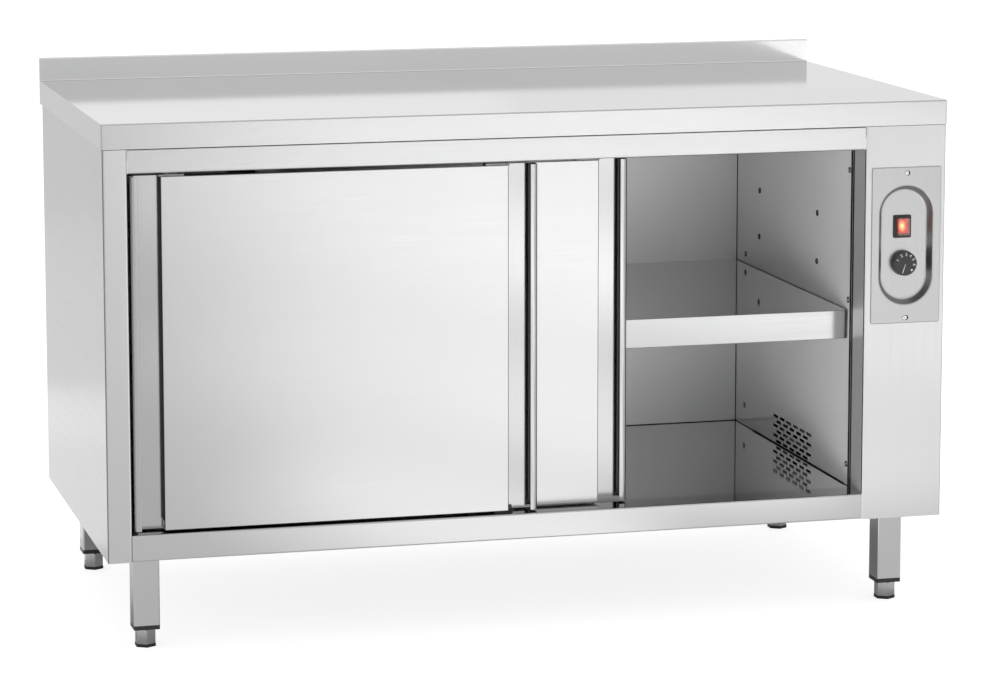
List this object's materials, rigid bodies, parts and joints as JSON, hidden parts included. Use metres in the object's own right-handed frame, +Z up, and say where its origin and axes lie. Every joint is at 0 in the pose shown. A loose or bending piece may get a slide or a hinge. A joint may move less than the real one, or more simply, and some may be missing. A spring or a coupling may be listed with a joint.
{
  "type": "plate warmer cabinet",
  "caption": "Heated stainless-steel plate cupboard on adjustable feet, with hanging sliding doors, a lift-out shelf, a crossflow heater and a side control panel.",
  "frame": {"origin": "on the floor, under the middle of the worktop", "axes": "+X to the right as seen from the front, -Y out of the front, +Z up"},
  "size_m": [1.4, 0.7, 0.89],
  "materials": {
    "stainless": "fine brushed",
    "stainless_bright": "bright annealed, mirror-like",
    "stainless_dark": "plain mill finish",
    "zinc": "zinc plated",
    "chipboard": "raw chipboard",
    "mineral_wool": "fibrous",
    "black_plastic": "matt black",
    "grey_plastic": "satin dark grey",
    "nylon": "smooth",
    "switch_red": "translucent, lit",
    "clear_boot": "clear silicone",
    "motor_steel": "dull",
    "copper": "bright",
    "heater_tube": "heat-darkened",
    "cream_plastic": "moulded"
  },
  "bodies": {
    "cabinet": {"back_panel": "stainless_dark", "base_pan": "zinc", "bottom_rail": "stainless", "cable_gland": "black_plastic", "cavity_back": "stainless_bright", "cavity_ceiling": "stainless_bright", "cavity_floor": "stainless_bright", "cavity_wall_left": "stainless_bright", "cavity_wall_right": "stainless_bright", "control_column": "stainless", "control_plate": "stainless", "door_guide": "nylon", "door_track": "zinc", "fan_housing": "zinc", "fan_motor": "motor_steel", "heater_element": "heater_tube", "insulation_back": "mineral_wool", "insulation_ceiling": "mineral_wool", "insulation_floor": "mineral_wool", "insulation_left": "mineral_wool", "leg_caps": "black_plastic", "leg_front_left": "stainless", "leg_front_right": "stainless", "leg_rear_left": "stainless", "leg_rear_right": "stainless", "sensor_bulb": "copper", "shelf_pins": "stainless_dark", "side_panel_left": "stainless", "side_panel_right": "stainless", "switch_body": "black_plastic", "switch_cover": "clear_boot", "terminal_block": "cream_plastic", "thermostat": "cream_plastic", "top_rail": "stainless", "worktop": "stainless", "worktop_board": "chipboard", "worktop_stiffeners": "zinc"},
    "knob": {"control_knob": "grey_plastic", "thermostat_spindle": "copper"},
    "door_a": {"door_a_core": "mineral_wool", "door_a_face": "stainless", "door_a_grips": "stainless", "door_a_hangers": "zinc", "door_a_liner": "stainless"},
    "door_a_rollers_left": {"door_a_rollers_left": "nylon"},
    "door_a_rollers_right": {"door_a_rollers_right": "nylon"},
    "door_b": {"door_b_core": "mineral_wool", "door_b_face": "stainless", "door_b_grips": "stainless", "door_b_hangers": "zinc", "door_b_liner": "stainless"},
    "door_b_rollers_left": {"door_b_rollers_left": "nylon"},
    "door_b_rollers_right": {"door_b_rollers_right": "nylon"},
    "fan": {"fan_impeller": "zinc"},
    "foot_front_left": {"foot_front_left": "stainless"},
    "foot_front_right": {"foot_front_right": "stainless"},
    "foot_rear_left": {"foot_rear_left": "stainless"},
    "foot_rear_right": {"foot_rear_right": "stainless"},
    "shelf": {"shelf": "stainless_bright"},
    "rocker": {"switch_rocker": "switch_red"}
  },
  "joints": [
    {"name": "door_a_slide", "type": "slide", "parent": "cabinet", "child": "door_a", "axis": [1, 0, 0], "range_m": [0, 0.548]},
    {"name": "door_b_slide", "type": "slide", "parent": "cabinet", "child": "door_b", "axis": [1, 0, 0], "range_m": [-0.159, 0.389]},
    {"name": "door_a_rollers_left_spin", "type": "hinge", "parent": "door_a", "child": "door_a_rollers_left", "pos_m": [-0.588, -0.325, 0.7898], "axis": [0, 1, 0], "continuous": true},
    {"name": "door_a_rollers_right_spin", "type": "hinge", "parent": "door_a", "child": "door_a_rollers_right", "pos_m": [-0.06, -0.325, 0.7898], "axis": [0, 1, 0], "continuous": true},
    {"name": "door_b_rollers_left_spin", "type": "hinge", "parent": "door_b", "child": "door_b_rollers_left", "pos_m": [-0.429, -0.296, 0.7898], "axis": [0, 1, 0], "continuous": true},
    {"name": "door_b_rollers_right_spin", "type": "hinge", "parent": "door_b", "child": "door_b_rollers_right", "pos_m": [0.099, -0.296, 0.7898], "axis": [0, 1, 0], "continuous": true},
    {"name": "shelf_lift", "type": "slide", "parent": "cabinet", "child": "shelf", "axis": [0, 0, 1], "range_m": [0, 0.17]},
    {"name": "foot_front_left_screw", "type": "slide", "parent": "cabinet", "child": "foot_front_left", "axis": [0, 0, 1], "range_m": [-0.03, 0]},
    {"name": "foot_front_right_screw", "type": "slide", "parent": "cabinet", "child": "foot_front_right", "axis": [0, 0, 1], "range_m": [-0.03, 0]},
    {"name": "foot_rear_left_screw", "type": "slide", "parent": "cabinet", "child": "foot_rear_left", "axis": [0, 0, 1], "range_m": [-0.03, 0]},
    {"name": "foot_rear_right_screw", "type": "slide", "parent": "cabinet", "child": "foot_rear_right", "axis": [0, 0, 1], "range_m": [-0.03, 0]},
    {"name": "rocker_tilt", "type": "hinge", "parent": "cabinet", "child": "rocker", "pos_m": [0.629, -0.336, 0.641], "axis": [1, 0, 0], "range_deg": [0, 20]},
    {"name": "knob_turn", "type": "hinge", "parent": "cabinet", "child": "knob", "pos_m": [0.6315, -0.3415, 0.58], "axis": [0, 1, 0], "range_deg": [-199, 71]},
    {"name": "fan_spin", "type": "hinge", "parent": "cabinet", "child": "fan", "pos_m": [0.626, 0.0025, 0.243], "axis": [0, 1, 0], "continuous": true}
  ],
  "couplings": [
    {"joint": "door_a_rollers_left_spin", "follows": "door_a_slide", "rad_per_m": 90.909},
    {"joint": "door_a_rollers_right_spin", "follows": "door_a_slide", "rad_per_m": 90.909},
    {"joint": "door_b_rollers_left_spin", "follows": "door_b_slide", "rad_per_m": 90.909},
    {"joint": "door_b_rollers_right_spin", "follows": "door_b_slide", "rad_per_m": 90.909}
  ]
}
